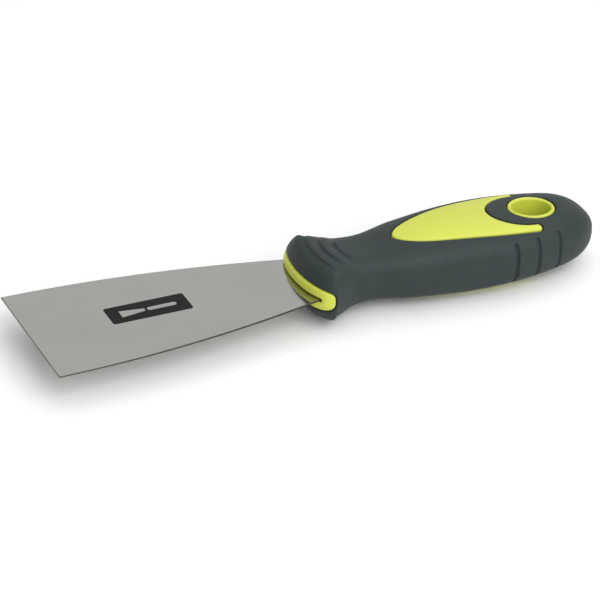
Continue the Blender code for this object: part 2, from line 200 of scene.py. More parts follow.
# ---------------------------------------------------------------- worked-out places
MIDDLE = HANDLE_THICKNESS / 2
EDGE_X = -(BLADE_LENGTH + HANDLE_LENGTH) / 2
NOSE_X = EDGE_X + BLADE_LENGTH
TAIL_X = NOSE_X + HANDLE_LENGTH
SHOULDER_X = NOSE_X + SHOULDER_DEPTH
BORE_X = TAIL_X - BORE_FROM_TAIL
GUARD_X = NOSE_X + GUARD[0]
TAIL_ROUND_X = TAIL_X - TAIL[0]
STATIONS = np.array(
    [(NOSE_X + place, width, depth) for place, width, depth in (GUARD, FLARE, NECK, WAIST, SWELL)]
    + [(TAIL_X - place, width, depth) for place, width, depth in (PALM, BELLY, TAIL)]
)
# The map's first direction u is x on the body and an arc on the two ends. Its second direction v
# runs round the section, from the side at 0 to the top at V_END.
NOSE_ARC = 0.0165
TAIL_ARC = 0.0195
SECTION_ARC = 0.0145
U_START = GUARD_X - NOSE_ARC
U_END = TAIL_ROUND_X + TAIL_ARC
V_END = SECTION_ARC * math.pi / 2


# ---------------------------------------------------------------- handle surface
def station_slopes(column):
    """Slopes that keep the curve through the stations free of overshoot."""
    gaps = np.diff(STATIONS[:, 0])
    steps = np.diff(STATIONS[:, column]) / gaps
    slopes = [RIM_SLOPES[column - 1]]
    for before, after in zip(steps, steps[1:]):
        slopes.append(2 * before * after / (before + after) if before * after > 0 else 0.0)
    end = ((2 * gaps[-1] + gaps[-2]) * steps[-1] - gaps[-1] * steps[-2]) / (gaps[-1] + gaps[-2])
    return np.array(slopes + [end])


SLOPES = {column: station_slopes(column) for column in (1, 2)}


def body_curve(x, column):
    """Half width (column 1) or half thickness (column 2) of the handle, before its ends close."""
    x = np.asarray(x, float)
    i = np.clip(np.searchsorted(STATIONS[:, 0], x, side="right") - 1, 0, len(STATIONS) - 2)
    span = STATIONS[i + 1, 0] - STATIONS[i, 0]
    s = np.clip((x - STATIONS[i, 0]) / span, 0, 1)
    value = (2 * s**3 - 3 * s**2 + 1) * STATIONS[i, column]
    value = value + (3 * s**2 - 2 * s**3) * STATIONS[i + 1, column]
    value = value + (s**3 - 2 * s**2 + s) * span * SLOPES[column][i]
    value = value + (s**3 - s**2) * span * SLOPES[column][i + 1]
    return value + SLOPES[column][-1] * np.clip(x - STATIONS[-1, 0], 0, None)


def closing(share, power):
    """What is left of a superellipse's full size at a share of its half length."""
    return np.clip(1 - np.clip(share, 0, 1) ** power, 0, None) ** (1 / power)


def size_at(x):
    """Half width, half thickness and section power of the handle at x."""
    front = np.clip((GUARD_X - x) / GUARD[0], 0, 1)
    back = np.clip((x - TAIL_ROUND_X) / TAIL[0], 0, 1)
    width = body_curve(x, 1) * closing(front, NOSE_PLAN_POWER) * closing(back, TAIL_PLAN_POWER)
    depth = body_curve(x, 2) * closing(front, NOSE_SIDE_POWER) * closing(back, TAIL_SIDE_POWER)
    behind = np.clip((x - GUARD_X) / (NECK[0] - GUARD[0]), 0, 1)
    softened = front**NOSE_SOFTENING
    power = GUARD_SECTION_POWER + (NOSE_SECTION_POWER - GUARD_SECTION_POWER) * softened
    return width, depth, power + (SECTION_POWER - GUARD_SECTION_POWER) * behind


def surface(uv):
    """Points of the handle's outside, for map places."""
    u, v = uv[:, 0], uv[:, 1]
    front = np.sin(0.5 * math.pi * np.clip((GUARD_X - u) / NOSE_ARC, 0, 1))
    back = np.sin(0.5 * math.pi * np.clip((u - TAIL_ROUND_X) / TAIL_ARC, 0, 1))
    x = np.clip(u, GUARD_X, TAIL_ROUND_X) - GUARD[0] * front + TAIL[0] * back
    width, depth, power = size_at(x)
    a = np.clip(np.cos(v / SECTION_ARC), 0, 1)
    b = np.clip(np.sin(v / SECTION_ARC), 0, 1)
    scale = (a**power + b**power) ** (-1 / power)
    y = np.where(v >= V_END - SMALL, 0, width * a * scale)
    z = np.where(v <= SMALL, 0, depth * b * scale)
    return np.stack([x, y, z], axis=1)


def normals(uv):
    """Outward directions of the handle's surface at map places."""
    step = 1e-6
    along = np.where(uv[:, :1] < (U_START + U_END) / 2, step, -step)
    across = np.where(uv[:, 1:] < V_END / 2, step, -step)
    here = surface(uv)
    to_tail = (surface(uv + along * [[1, 0]]) - here) / along
    to_top = (surface(uv + across * [[0, 1]]) - here) / across
    out = np.cross(to_top, to_tail)
    out[uv[:, 1] <= SMALL, 2] = 0
    out[uv[:, 1] >= V_END - SMALL, 1] = 0
    length = np.linalg.norm(out, axis=1)
    pole = (uv[:, 0] <= U_START + SMALL) | (uv[:, 0] >= U_END - SMALL)
    out[pole] = np.sign(uv[pole, :1]) * [[1, 0, 0]]
    return out / np.where(pole, 1, length)[:, None]


def smooth(t):
    """A soft step from 0 to 1."""
    t = np.clip(t, 0, 1)
    return t * t * (3 - 2 * t)


def inward(uv):
    """Directions into the handle: against the normal, but straight down close to the bore."""
    points = surface(uv)
    reach = np.hypot(
        (points[:, 0] - BORE_X) / (BORE_HALF_LENGTH + SLEEVE_WALL),
        points[:, 1] / (BORE_HALF_WIDTH + SLEEVE_WALL),
    )
    share = smooth((reach - BLEND_START) / BLEND_SPAN)[:, None]
    mixed = (1 - share) * np.array([[0, 0, 1]]) + share * normals(uv)
    return -mixed / np.linalg.norm(mixed, axis=1)[:, None]


# ---------------------------------------------------------------- places on the map
def map_along(x):
    """The map's u for places x along the handle."""
    front = np.arcsin(np.clip((GUARD_X - x) / GUARD[0], 0, 1))
    back = np.arcsin(np.clip((x - TAIL_ROUND_X) / TAIL[0], 0, 1))
    return np.clip(x, GUARD_X, TAIL_ROUND_X) + (TAIL_ARC * back - NOSE_ARC * front) * 2 / math.pi


def snap(u, v):
    """Map places from u and v, with those close to the map's long borders put on them."""
    v = np.where(np.abs(v) < SMALL, 0, np.where(np.abs(v - V_END) < SMALL, V_END, v))
    return np.stack([u, v], axis=1)


def from_plan(x, y):
    """Map places of the points of the top that lie over plan points."""
    width, _, power = size_at(x)
    k = np.clip(y / width, 0, 1)
    return snap(map_along(x), SECTION_ARC * np.arctan2((1 - k**power) ** (1 / power), k))


def window_line(grow):
    """Half the window's edge, grown outwards: its long side, its prong and the island's front."""
    g = np.broadcast_to(grow, 3 * LINE_POINTS)
    g0, g1, g2 = g[:LINE_POINTS], g[LINE_POINTS : 2 * LINE_POINTS], g[2 * LINE_POINTS :]
    end = BORE_X - PRONG_FROM_BORE - (WINDOW_HALF_WIDTH - ISLAND_HALF_WIDTH) / 2
    a = np.linspace(0, math.pi / 2, LINE_POINTS)
    half_length = end - (NOSE_X + WINDOW_FROM_NOSE) + g0
    x = end - half_length * np.clip(np.cos(a), 0, 1) ** (2 / WINDOW_POWER)
    y = (WINDOW_HALF_WIDTH + g0) * np.sin(a) ** (2 / WINDOW_POWER)
    b = np.linspace(math.pi / 2, -math.pi / 2, LINE_POINTS)
    radius = (WINDOW_HALF_WIDTH - ISLAND_HALF_WIDTH) / 2 + g1
    prong_x = end + radius * np.cos(b)
    prong_y = ISLAND_HALF_WIDTH - g1 + radius * (1 + np.sin(b))
    c = np.linspace(math.pi / 2, math.pi, LINE_POINTS)
    island_x = BORE_X - ISLAND_FROM_BORE + (ISLAND_HALF_LENGTH - g2) * np.cos(c)
    island_y = (ISLAND_HALF_WIDTH - g2) * np.sin(c)
    return from_plan(np.concatenate([x, prong_x, island_x]), np.concatenate([y, prong_y, island_y]))


def bore_line(grow):
    """Half the hang hole's oval, grown outwards."""
    a = np.linspace(0, math.pi, 2 * LINE_POINTS)
    x = BORE_X + (BORE_HALF_LENGTH + grow) * np.cos(a)
    return from_plan(x, (BORE_HALF_WIDTH + grow) * np.sin(a))


def collar_line(grow):
    """A quarter of the collar's edge, where its plug meets the nose, grown outwards."""
    a = np.linspace(0, math.pi / 2, LINE_POINTS)
    across = np.clip(np.cos(a), 0, 1) ** (2 / COLLAR_POWER)
    z = (COLLAR_HALF_HEIGHT + grow) * np.sin(a) ** (2 / COLLAR_POWER)
    low, high = np.zeros(LINE_POINTS), np.ones(LINE_POINTS)
    for _ in range(HALVINGS):
        share = (low + high) / 2
        x = GUARD_X - GUARD[0] * share
        width, depth, power = size_at(x)
        plug = COLLAR_HALF_WIDTH + grow - COLLAR_CLOSING * (x - NOSE_X - COLLAR_END)
        y = plug * across
        outside = (y / width) ** power + (z / depth) ** power > 1
        low, high = np.where(outside, low, share), np.where(outside, share, high)
    u = GUARD_X - NOSE_ARC * np.arcsin(low) * 2 / math.pi
    return snap(u, SECTION_ARC * np.arctan2(z / depth, y / width))


def run_length(points):
    """The length along a line of points, up to each of them."""
    return np.concatenate([[0], np.cumsum(np.linalg.norm(np.diff(points, axis=0), axis=1))])


def spaced(line, step):
    """Which points of a fine line to take, so that they lie about a step apart."""
    length = run_length(surface(line(0.0)))
    targets = np.linspace(0, length[-1], max(EDGE_FEWEST, round(length[-1] / step)))
    return np.unique(np.searchsorted(length, targets - SMALL).clip(0, len(length) - 1))


def shifted(line, distance):
    """The line moved outwards by a distance measured on the surface."""
    step = 1e-5
    rate = np.linalg.norm(surface(line(step)) - surface(line(0.0)), axis=1) / step
    return line(distance / rate)


def rounding(radius):
    """Pairs of distance from an edge and depth below the surface, on a quarter round."""
    angles = np.linspace(math.pi / 2, 0, ROUND_STEPS)
    return [(radius * (1 - math.sin(a)), radius * (1 - math.cos(a))) for a in angles]


WINDOW_PICKS = spaced(window_line, LOOP_STEP)
BORE_PICKS = spaced(bore_line, LOOP_STEP)
COLLAR_PICKS = spaced(collar_line, LOOP_STEP)
NOSE_CORNERS = np.array([[U_START, V_END], [U_START, 0.0]])


def window_polygon(distance):
    """Outline of the window on the map, moved outwards by a distance."""
    return shifted(window_line, distance)[WINDOW_PICKS]


def bore_polygon(grow):
    """Outline of the hang hole on the map, grown outwards."""
    return bore_line(grow)[BORE_PICKS]


def collar_edge(distance):
    """The collar's edge on the map, moved outwards by a distance."""
    return shifted(collar_line, distance)[COLLAR_PICKS]


def collar_polygon(distance):
    """Outline of the collar on the map: its edge, closed along the tip of the nose."""
    return np.concatenate([collar_edge(distance), NOSE_CORNERS])


# ---------------------------------------------------------------- triangles over a flat map
def triangulate(points, chains):
    """Delaunay triangles over plane points. Each chain's neighbours stay joined by an edge."""
    edges = [(int(a), int(b)) for chain in chains for a, b in zip(chain, chain[1:])]
    places = [Vector((float(a), float(b))) for a, b in np.asarray(points) / MM]
    whole_hull = 0
    _, _, faces, sources, _, _ = delaunay_2d_cdt(places, edges, [], whole_hull, SMALL, True)
    return np.array([[sources[i][0] for i in face] for face in faces])


def contains(polygon, points):
    """Which plane points lie inside a polygon."""
    inside = np.zeros(len(points), bool)
    x, y = points[:, 0], points[:, 1]
    for (x0, y0), (x1, y1) in zip(polygon, np.roll(polygon, -1, axis=0)):
        if y0 != y1:
            inside ^= ((y0 > y) != (y1 > y)) & (x < x0 + (y - y0) / (y1 - y0) * (x1 - x0))
    return inside


def covers(polygon, uv):
    """Which map places lie inside a polygon, with the map's borders counted as inside."""
    middle = np.array([[(U_START + U_END) / 2, V_END / 2]])
    return contains(polygon, uv + (middle - uv) * NUDGE)


class Sheet:
    """Points on the map, each with a depth below the surface, and the chains that join them."""

    def __init__(self):
        self.uv = np.empty((0, 2))
        self.drop = np.empty(0)
        self.chains = []

    def add(self, uv, drop):
        """Adds loose points and gives back their numbers."""
        first = len(self.uv)
        self.uv = np.concatenate([self.uv, uv])
        self.drop = np.concatenate([self.drop, np.broadcast_to(drop, len(uv))])
        return np.arange(first, len(self.uv))

    def chain(self, uv, drop=0.0):
        """Adds points that stay joined in their order."""
        added = self.add(uv, drop)
        self.chains.append(added)
        return added

    def fill(self, uv, clearance, drop=0.0):
        """Adds the points that keep clear of all that are there already."""
        old = surface(self.uv)
        tree = KDTree(len(old))
        for i, point in enumerate(old):
            tree.insert(point, i)
        tree.balance()
        keep = [tree.find(point)[2] > clearance for point in surface(uv)]
        self.add(uv[keep], drop)


def rows(spacing):
    """A grid of map places about a spacing apart on the surface, every other row half a step on."""
    made = []
    fine = np.linspace(0, V_END, SECTION_POINTS)
    for r, u in enumerate(np.linspace(U_START, U_END, round((U_END - U_START) / spacing) + 1)):
        length = run_length(surface(np.stack([np.full(SECTION_POINTS, u), fine], axis=1)))
        count = max(POLE_POINTS, round(length[-1] / spacing))
        share = np.linspace(0, 1, count + 1)
        if r % 2:
            share = np.concatenate([[0], (share[1:] + share[:-1]) / 2, [1]])
        if length[-1] > SMALL:
            v = np.interp(share * length[-1], length, fine)
        else:
            v = share * V_END
        v[0], v[-1] = 0, V_END
        made.append(np.stack([np.full(len(v), u), v], axis=1))
    return np.concatenate(made)


def quarter_to_mesh(name, points, faces):
    """Mirrors a quarter across both middle planes and joins the four into one closed mesh."""
    all_points, all_faces = [], []
    for across in (1, -1):
        for up in (1, -1):
            all_faces += [[i + len(all_points) * len(points) for i in face] for face in faces]
            all_points.append(points * [[1, across, up]])
    stacked = np.concatenate(all_points)
    bm = bmesh.new()
    verts = [bm.verts.new(point) for point in stacked]
    for face in all_faces:
        bm.faces.new([verts[i] for i in face])
    bmesh.ops.remove_doubles(bm, verts=bm.verts, dist=MERGE)
    bmesh.ops.translate(bm, verts=bm.verts, vec=(0, 0, MIDDLE))
    return finish_mesh(name, bm)


def shade(mesh):
    """Smooth shading with sharp edges."""
    mesh.shade_smooth()
    mesh.set_sharp_from_angle(angle=SHARP_ANGLE)


def finish_mesh(name, bm):
    """Turns a bmesh into an object of the scene."""
    bmesh.ops.recalc_face_normals(bm, faces=bm.faces)
    mesh = bpy.data.meshes.new(name)
    bm.to_mesh(mesh)
    bm.free()
    shade(mesh)
    obj = bpy.data.objects.new(name, mesh)
    bpy.context.scene.collection.objects.link(obj)
    return obj


def one_pole(uv, faces):
    """Every map place at an end of the handle is one point, so such triangles close to it."""
    names = np.arange(len(uv))
    for pole in (np.abs(uv[:, 0] - U_START) < SMALL, np.abs(uv[:, 0] - U_END) < SMALL):
        if pole.any():
            names[pole] = np.flatnonzero(pole)[0]
    faces = names[faces]
    return [list(f) for f in faces if len(set(f)) == 3]


# ---------------------------------------------------------------- hard core
def mouth_depth(points):
    """How far the collar's face lies back beside the blade's slot."""
    fade = smooth((NECK_WIDTH / 2 + MOUTH_REACH - points[:, 1]) / MOUTH_REACH)
    front = points[:, 0] < GUARD_X
    return MOUTH_DEPTH * fade * front * smooth(1 - points[:, 2] / MOUTH_REACH)


def make_core():
    """The hard plastic: flush in the windows, the collar and the sleeve, and sunk under the grip."""
    sheet = Sheet()
    hidden = GRIP_WALL + GAP
    for distance, depth in rounding(LAND_ROUND):
        sheet.chain(window_polygon(-distance), depth)
        sheet.chain(collar_edge(-distance), depth)
    sheet.chain(window_polygon(FOOT), hidden)
    sheet.chain(collar_edge(FOOT), hidden)
    # The sleeve's rim is a half round, from the bore outwards.
    lip = SLEEVE_WALL / 2
    rings = []
    for a in np.linspace(0, math.pi, 2 * ROUND_STEPS - 1):
        ring = sheet.chain(bore_polygon(lip * (1 - math.cos(a))))
        rings.append((ring, lip * (1 - math.sin(a))))
    bore_ring = rings[0][0]
    sheet.chain(bore_polygon(SLEEVE_WALL + FOOT), hidden)
    mouth = rows(MOUTH_GRID)
    mouth = mouth[(mouth[:, 0] < GUARD_X) & (surface(mouth)[:, 2] < MOUTH_SPREAD * MOUTH_REACH)]
    sheet.fill(mouth[covers(collar_polygon(-LAND_ROUND), mouth)], KEEP_OFF * MOUTH_GRID)
    grid = rows(GRID)
    land = covers(window_polygon(-LAND_ROUND), grid) | covers(collar_polygon(-LAND_ROUND), grid)
    sheet.fill(grid[land], KEEP_OFF * GRID)
    grid = rows(HIDDEN_GRID)
    shown = covers(window_polygon(FOOT), grid) | covers(collar_polygon(FOOT), grid)
    shown |= covers(bore_polygon(SLEEVE_WALL + FOOT), grid)
    sheet.fill(grid[~shown], KEEP_OFF * HIDDEN_GRID, hidden)

    uv = sheet.uv
    faces = triangulate(uv, sheet.chains)
    centres = uv[faces].mean(axis=1)
    faces = faces[~contains(bore_polygon(0.0), centres)]
    points = surface(uv)
    points += (sheet.drop + mouth_depth(points))[:, None] * inward(uv)
    height, slope = sleeve_plane()
    for ring, drop in rings:
        points[ring, 2] = height + slope * (points[ring, 0] - BORE_X) - drop
    faces = one_pole(uv, faces)
    # The bore's wall runs straight down from the rim to the middle plane.
    above = list(bore_ring)
    top = points[bore_ring]
    for k in range(1, BORE_ROWS + 1):
        row = top * [[1, 1, 1 - k / BORE_ROWS]]
        below = list(range(len(points), len(points) + len(row)))
        points = np.concatenate([points, row])
        for i in range(len(row) - 1):
            faces.append([above[i], above[i + 1], below[i + 1], below[i]])
        above = below
    return quarter_to_mesh("hard_core", points, faces)


def sleeve_plane():
    """Height of the sleeve's rim over the bore's middle, and its slope along x."""
    reach = BORE_HALF_LENGTH + SLEEVE_WALL
    ends = size_at(np.array([BORE_X - reach, BORE_X, BORE_X + reach]))[1]
    return ends[1] - SLEEVE_SINK, (ends[2] - ends[0]) / (2 * reach)


# ---------------------------------------------------------------- soft grip
def groove_places():
    """For each tail groove: its x, its length up the side, and v with the side's length up to it."""
    made = []
    v = np.linspace(0, V_END, LINE_POINTS)
    for i in range(TAIL_GROOVE_COUNT):
        x = TAIL_X - TAIL_GROOVE_FROM_TAIL - i * TAIL_GROOVE_PITCH
        side = surface(np.stack([map_along(np.full(LINE_POINTS, x)), v], axis=1))
        length = run_length(side)
        made.append((x, np.interp(TAIL_GROOVE_HALF_HEIGHT, side[:, 2], length), v, length))
    return made


def groove_points():
    """Map places that follow the tail grooves closely."""
    made = []
    offsets = np.linspace(-GROOVE_SPREAD, GROOVE_SPREAD, GROOVE_LINES) * GROOVE_REACH
    for x, top, v, length in groove_places():
        for offset in offsets:
            up = np.arange(0, top, LOOP_STEP)
            made.append((np.full(len(up), x + offset), np.interp(up, length, v)))
        for radius in offsets[offsets > 0]:
            count = max(GROOVE_END_FEWEST, round(math.pi * radius / GROOVE_END_STEP))
            angle = np.linspace(GROOVE_END_MARGIN, math.pi - GROOVE_END_MARGIN, count)
            up = top + radius * np.sin(angle)
            made.append((x + radius * np.cos(angle), np.interp(up, length, v)))
    return np.concatenate([snap(map_along(x), v) for x, v in made])


def groove_depth(uv, points):
    """Depth of the tail grooves at map places."""
    depth = np.zeros(len(uv))
    for x, top, v, length in groove_places():
        up = np.interp(uv[:, 1], v, length)
        away = np.hypot(points[:, 0] - x, np.clip(up - top, 0, None)) / GROOVE_REACH
        depth = np.maximum(depth, GROOVE_DEPTH * np.clip(1 - away**2, 0, 1) ** GROOVE_POWER)
    return depth


def ripple_points():
    """Map places that follow the guard's ripples closely."""
    made = []
    steep = np.linspace(-1, 0, STEEP_LINES) * RIPPLE_STEEP
    gentle = np.array(GENTLE_LINES) * RIPPLE_GENTLE
    offsets = np.concatenate([steep, gentle])
    for from_nose, length, width in RIPPLES:
        count = round(RIPPLE_DENSITY * width / LOOP_STEP)
        angle = np.linspace(0, RIPPLE_SPREAD * RIPPLE_HALF_ANGLE, count)
        out = np.stack([-np.cos(angle) / length, np.sin(angle) / width], axis=1)
        out /= np.linalg.norm(out, axis=1)[:, None]
        x = NOSE_X + from_nose - length * np.cos(angle)
        middle = np.stack([x, width * np.sin(angle)], axis=1)
        for offset in offsets:
            places = middle + offset * out
            made.append(from_plan(places[:, 0], places[:, 1]))
    return np.concatenate(made)


def ripple_depth(points):
    """Depth of the ripples: a short steep side towards the tail and a long one to the nose."""
    depth = np.zeros(len(points))
    for from_nose, length, width in RIPPLES:
        across = (points[:, 0] - NOSE_X - from_nose) / length
        along = points[:, 1] / width
        slope = np.hypot(across / length, along / width) + SMALL
        away = (across**2 + along**2 - 1) / (2 * slope)
        angle = np.arctan2(along, -across)
        fade = smooth((RIPPLE_END - angle) / RIPPLE_END_FADE)
        steep = smooth(1 + away / RIPPLE_STEEP)
        gentle = smooth(1 - away / RIPPLE_GENTLE) ** RIPPLE_POWER
        depth = np.maximum(depth, RIPPLE_DEPTH * fade * np.where(away < 0, steep, gentle))
    return depth * smooth((points[:, 2] - RIPPLE_LOW) / RIPPLE_FADE)


def edge_counts(faces):
    """How many faces each edge belongs to, with every edge given as its two point numbers."""
    counts = {}
    for face in faces:
        for a, b in zip(face, face[1:] + face[:1]):
            key = (min(a, b), max(a, b))
            counts[key] = counts.get(key, 0) + 1
    return counts


def make_grip():
    """The soft skin: its outside, its inside one wall lower, and the walls of its openings."""
    sheet = Sheet()
    for distance, depth in rounding(GRIP_ROUND):
        sheet.chain(window_polygon(GAP + distance), depth)
        sheet.chain(collar_edge(GAP + distance), depth)
        sheet.chain(bore_polygon(SLEEVE_WALL + GAP + distance), depth)
    sheet.fill(groove_points(), GROOVE_KEEP_OFF)
    sheet.fill(ripple_points(), RIPPLE_KEEP_OFF)
    openings = (window_polygon(GAP), collar_polygon(GAP), bore_polygon(SLEEVE_WALL + GAP))
    grid = rows(GRID)
    for opening in openings:
        grid = grid[~covers(opening, grid)]
    sheet.fill(grid, KEEP_OFF * GRID)

    uv = sheet.uv
    faces = triangulate(uv, sheet.chains)
    centres = uv[faces].mean(axis=1)
    for opening in openings:
        outside = ~contains(opening, centres)
        faces, centres = faces[outside], centres[outside]
    used = np.unique(faces)
    names = np.full(len(uv), -1)
    names[used] = np.arange(len(used))
    uv, drop, faces = uv[used], sheet.drop[used], names[faces]

    base = surface(uv)
    down = inward(uv)
    drop = np.maximum(drop, groove_depth(uv, base))
    drop = np.maximum(drop, ripple_depth(base))
    outer = base + drop[:, None] * down
    inner = base + GRIP_WALL * down
    count = len(uv)
    faces = one_pole(uv, faces)
    # Walls close the edges of one face, except those that the mirrored quarters join.
    pole = uv[:, 0] >= U_END - SMALL
    on_mirror = [pole | (uv[:, 1] <= SMALL), pole | (uv[:, 1] >= V_END - SMALL)]
    walls = []
    for (a, b), times in edge_counts(faces).items():
        if times == 1 and not any(side[a] and side[b] for side in on_mirror):
            walls.append([a, b, b + count, a + count])
    inside = [[i + count for i in face] for face in faces]
    return quarter_to_mesh("soft_grip_skin", np.concatenate([outer, inner]), faces + inside + walls)


# ---------------------------------------------------------------- blade
def blade_side(x, grow):
    """Half width of the blade at x, grown by a distance."""
    share = np.clip((x - EDGE_X) / TAPER_LENGTH, 0, 1)
    straight = BLADE_WIDTH / 2 + (NECK_WIDTH - BLADE_WIDTH) / 2 * share
    return straight + 4 * SIDE_BOW * share * (1 - share) + grow


def blade_outline(grow=0.0):
    """Plan outline of blade and tang, grown outwards. Point TAPER_STEPS is at the handle's nose."""
    x = np.linspace(EDGE_X, NOSE_X, TAPER_STEPS + 1)
    side = [(float(px), float(blade_side(px, grow))) for px in x]
    side[0] = (EDGE_X - grow, side[0][1])
    shoulder = SHOULDER_X + grow
    half_tang = TANG_WIDTH / 2 + grow
    side.append((EDGE_X + TAPER_LENGTH, NECK_WIDTH / 2 + grow))
    side.append((shoulder, NECK_WIDTH / 2 + grow))
    side.append((shoulder, half_tang))
    round_x = SHOULDER_X + TANG_LENGTH - TANG_WIDTH / 2
    for angle in np.linspace(math.pi / 2, 0, TANG_END_POINTS)[:-1]:
        side.append((round_x + half_tang * math.cos(angle), half_tang * math.sin(angle)))
    return side + [(round_x + half_tang, 0.0)] + [(x, -y) for x, y in reversed(side)]


def circle(x, radius):
    """Plan outline of a round hole on the middle line."""
    angles = np.linspace(0, 2 * math.pi, HOLE_POINTS, endpoint=False)
    return [(x + radius * math.cos(a), radius * math.sin(a)) for a in angles]


def blade_half_thickness(x):
    """Half thickness of the blade at x: it is ground thinner towards the working edge."""
    share = np.clip((x - EDGE_X) / BLADE_LENGTH, 0, 1)
    return (EDGE_THICKNESS + (NECK_THICKNESS - EDGE_THICKNESS) * share) / 2


def plate(name, rims, half_thickness, chamfer, marks=()):
    """A flat plate with holes. rims are pairs of full and inset outlines; marks are printed.

    The first rim is the outside. A point inside an odd number of marks is inked.
    """
    flat, chains = [], []
    for _, inset in rims:
        chains.append(list(range(len(flat), len(flat) + len(inset))))
        flat += inset
    for mark in marks:
        chains.append(list(range(len(flat), len(flat) + len(mark))))
        flat += mark
    flat = np.array(flat)
    closed = [chain + chain[:1] for chain in chains]
    # The blade's thickness changes its slope at the handle's nose, so an edge runs across there.
    fold = [chains[0][TAPER_STEPS], chains[0][-1 - TAPER_STEPS]]
    faces = triangulate(flat, closed + [fold])
    centres = flat[faces].mean(axis=1)
    keep = contains(np.array(rims[0][1]), centres)
    for _, hole in rims[1:]:
        keep &= ~contains(np.array(hole), centres)
    faces, centres = faces[keep], centres[keep]
    inked = np.zeros(len(faces), bool)
    for mark in marks:
        inked ^= contains(np.array(mark), centres)
    bm = bmesh.new()
    height = half_thickness(flat[:, 0])
    layers = []
    for side in (1, -1):
        layers.append([bm.verts.new((x, y, MIDDLE + side * h)) for (x, y), h in zip(flat, height)])
    for layer in layers:
        for face, ink in zip(faces, inked):
            made = bm.faces.new([layer[i] for i in face])
            made.material_index = INK_INDEX if ink and layer is layers[0] else FACE_INDEX
    for chain, (full, _) in zip(chains, rims):
        bands = [[layers[0][i] for i in chain]]
        if chamfer:
            for side in (1, -1):
                ring = [(x, y, MIDDLE + side * (half_thickness(x) - chamfer)) for x, y in full]
                bands.append([bm.verts.new(point) for point in ring])
        bands.append([layers[1][i] for i in chain])
        for upper, lower in zip(bands, bands[1:]):
            for i in range(len(chain)):
                j = (i + 1) % len(chain)
                made = bm.faces.new((upper[i], upper[j], lower[j], lower[i]))
                made.material_index = EDGE_INDEX
    return finish_mesh(name, bm)


def make_blade():
    """The steel sheet with its tang, chamfered all round, with the sign on its upper face."""
    rims = [(blade_outline(), blade_outline(-BLADE_CHAMFER))]
    for place in TANG_HOLE_PLACES:
        x = SHOULDER_X + place
        rims.append((circle(x, TANG_HOLE_RADIUS), circle(x, TANG_HOLE_RADIUS + BLADE_CHAMFER)))
    return plate("steel_blade", rims, blade_half_thickness, BLADE_CHAMFER, blade_marks())


def rounded_box(x, y, half_length, half_width, radius):
    """Plan outline of a box with round corners."""
    made = []
    for quarter in range(4):
        cx = x + (half_length - radius) * (1 if quarter in (0, 3) else -1)
        cy = y + (half_width - radius) * (1 if quarter in (0, 1) else -1)
        for angle in np.linspace(0, math.pi / 2, CORNER_POINTS) + quarter * math.pi / 2:
            made.append((cx + radius * math.cos(angle), cy + radius * math.sin(angle)))
    return made


def blade_marks():
    """A plain printed sign: a dark bar with the outline of a putty knife left bare in it."""
    bar = rounded_box(SIGN_X, SIGN_Y, SIGN_HALF_LENGTH, SIGN_HALF_WIDTH, SIGN_CORNER)
    tip = SIGN_X + SIGN_TIP
    root = SIGN_X + SIGN_ROOT
    knife = [
        (tip, SIGN_Y - SIGN_TIP_HALF_WIDTH),
        (root, SIGN_Y - SIGN_ROOT_HALF_WIDTH),
        (root, SIGN_Y + SIGN_ROOT_HALF_WIDTH),
        (tip, SIGN_Y + SIGN_TIP_HALF_WIDTH),
    ]
    middle = SIGN_X + SIGN_GRIP
    size = (SIGN_GRIP_HALF_LENGTH, SIGN_GRIP_HALF_WIDTH, SIGN_GRIP_CORNER)
    return [bar, knife, rounded_box(middle, SIGN_Y, *size)]


def pocket():
    """The room for blade and tang, with a peg left standing in each tang hole."""
    outlines = [blade_outline(GAP)]
    for place in TANG_HOLE_PLACES:
        outlines.append(circle(SHOULDER_X + place, TANG_HOLE_RADIUS - GAP))
    rims = [(outline, outline) for outline in outlines]
    return plate("pocket", rims, lambda x: np.full(np.shape(x), NECK_THICKNESS / 2 + GAP), 0.0)


def cut(obj, cutter):
    """Takes the cutter out of the object for good."""
    modifier = obj.modifiers.new("cut", "BOOLEAN")
    modifier.operation = "DIFFERENCE"
    modifier.solver = "EXACT"
    modifier.object = cutter
    made = bpy.data.meshes.new_from_object(obj.evaluated_get(bpy.context.evaluated_depsgraph_get()))
    obj.modifiers.clear()
    obj.data = made
    bpy.data.objects.remove(cutter)
    shade(made)


